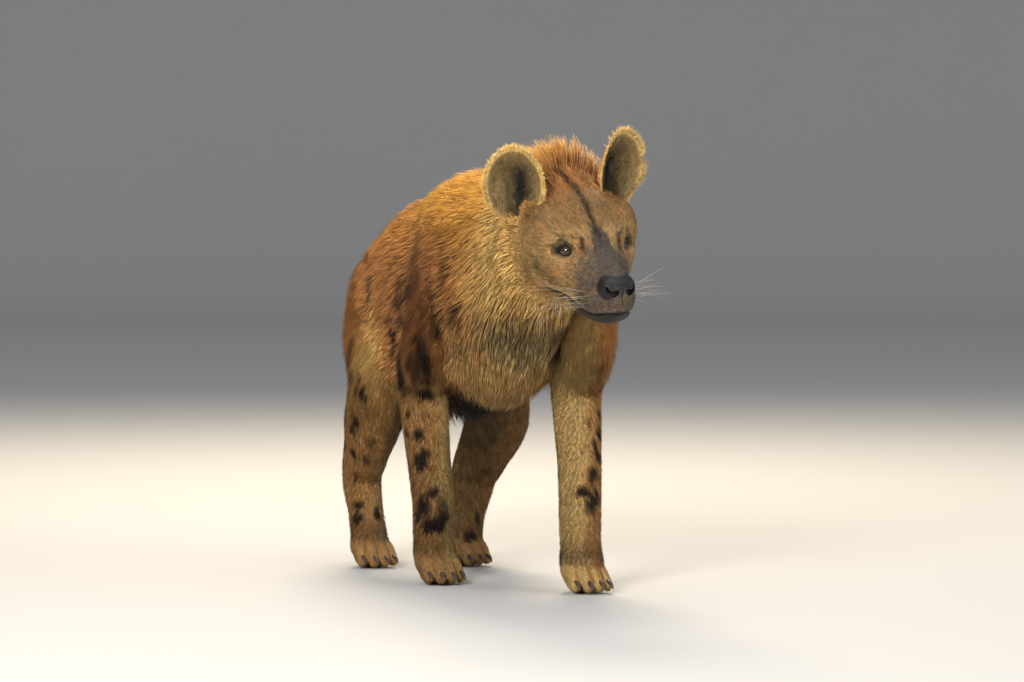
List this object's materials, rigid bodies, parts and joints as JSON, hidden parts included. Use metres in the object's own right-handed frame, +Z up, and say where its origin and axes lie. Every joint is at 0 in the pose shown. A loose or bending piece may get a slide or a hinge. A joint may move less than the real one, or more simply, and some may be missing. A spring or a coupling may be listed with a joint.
{
  "type": "spotted hyena",
  "caption": "Life-size still model of a standing spotted hyena with a sloping back, heavy neck and rounded ears, head turned a little to its left.",
  "frame": {"origin": "centre of the bounding box at floor level, under the standing animal", "axes": "the animal faces -Y, its left side is +X, +Z is up"},
  "size_m": [0.3568, 1.272, 0.8485],
  "materials": {
    "claw_horn": "dull horn",
    "nose_leather": "moist black satin",
    "lip_leather": "black lip skin and short dark hair on the chin",
    "eye": "wet gloss over a dark brown iris",
    "tail_coat": "long bristly hair, dark brown towards the tip",
    "ear_coat": "short grey-brown hair with a pale rim",
    "face_coat": "short grey-tan hair, darker on the muzzle",
    "leg_coat": "short tawny hair with dark spots",
    "body_coat": "long coarse tawny hair with dark brown blotches"
  },
  "bodies": {
    "root": {"torso": "body_coat", "neck": "body_coat", "head": "face_coat", "lower_jaw": "lip_leather", "nose": "nose_leather", "ear_left": "ear_coat", "ear_right": "ear_coat", "eye_left": "eye", "eye_right": "eye", "tail": "tail_coat", "foreleg_right": "leg_coat", "foreleg_right_claw_1": "claw_horn", "foreleg_right_claw_2": "claw_horn", "foreleg_right_claw_3": "claw_horn", "foreleg_right_claw_4": "claw_horn", "foreleg_left": "leg_coat", "foreleg_left_claw_1": "claw_horn", "foreleg_left_claw_2": "claw_horn", "foreleg_left_claw_3": "claw_horn", "foreleg_left_claw_4": "claw_horn", "hindleg_right": "leg_coat", "hindleg_right_claw_1": "claw_horn", "hindleg_right_claw_2": "claw_horn", "hindleg_right_claw_3": "claw_horn", "hindleg_right_claw_4": "claw_horn", "hindleg_left": "leg_coat", "hindleg_left_claw_1": "claw_horn", "hindleg_left_claw_2": "claw_horn", "hindleg_left_claw_3": "claw_horn", "hindleg_left_claw_4": "claw_horn"}
  },
  "joints": []
}
